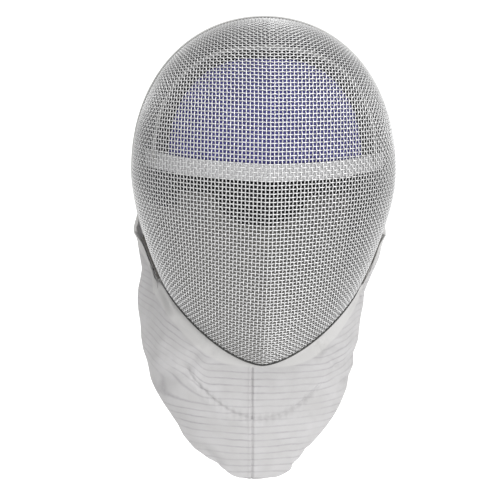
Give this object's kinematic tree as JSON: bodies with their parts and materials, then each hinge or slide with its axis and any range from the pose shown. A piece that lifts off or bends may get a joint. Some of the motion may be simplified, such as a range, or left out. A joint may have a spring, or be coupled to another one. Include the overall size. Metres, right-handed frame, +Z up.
{
  "type": "fencing mask",
  "caption": "Fencing mask: domed woven-wire guard with bound rear edge, padded cloth bib, blue forehead lining, and black strap and pad behind the head.",
  "frame": {"origin": "under the crown, where the top of the wearer's head sits, on the centre plane and in the plane of the dome's rear edge", "axes": "+Z up, the face looks towards -Y, +X is to the right of a viewer who faces the mask"},
  "size_m": [0.2262, 0.1905, 0.3781],
  "materials": {
    "wire": "bare woven steel wire",
    "steel": "dull folded sheet steel",
    "binding": "white woven binding tape",
    "bib_cloth": "pale quilted protective cloth with fine stripes",
    "lining_cloth": "pale grey lining cloth",
    "blue_pad": "blue padded knit",
    "black_elastic": "black elastic and padded cloth"
  },
  "bodies": {
    "root": {"face_mesh": "wire", "edge_trim": "binding", "steel_clip_right": "steel", "steel_clip_left": "steel", "bib": "bib_cloth", "forehead_pad": "blue_pad", "forehead_band": "binding", "lining_frame": "lining_cloth", "rear_strap": "black_elastic", "rear_pad": "black_elastic"}
  },
  "joints": []
}
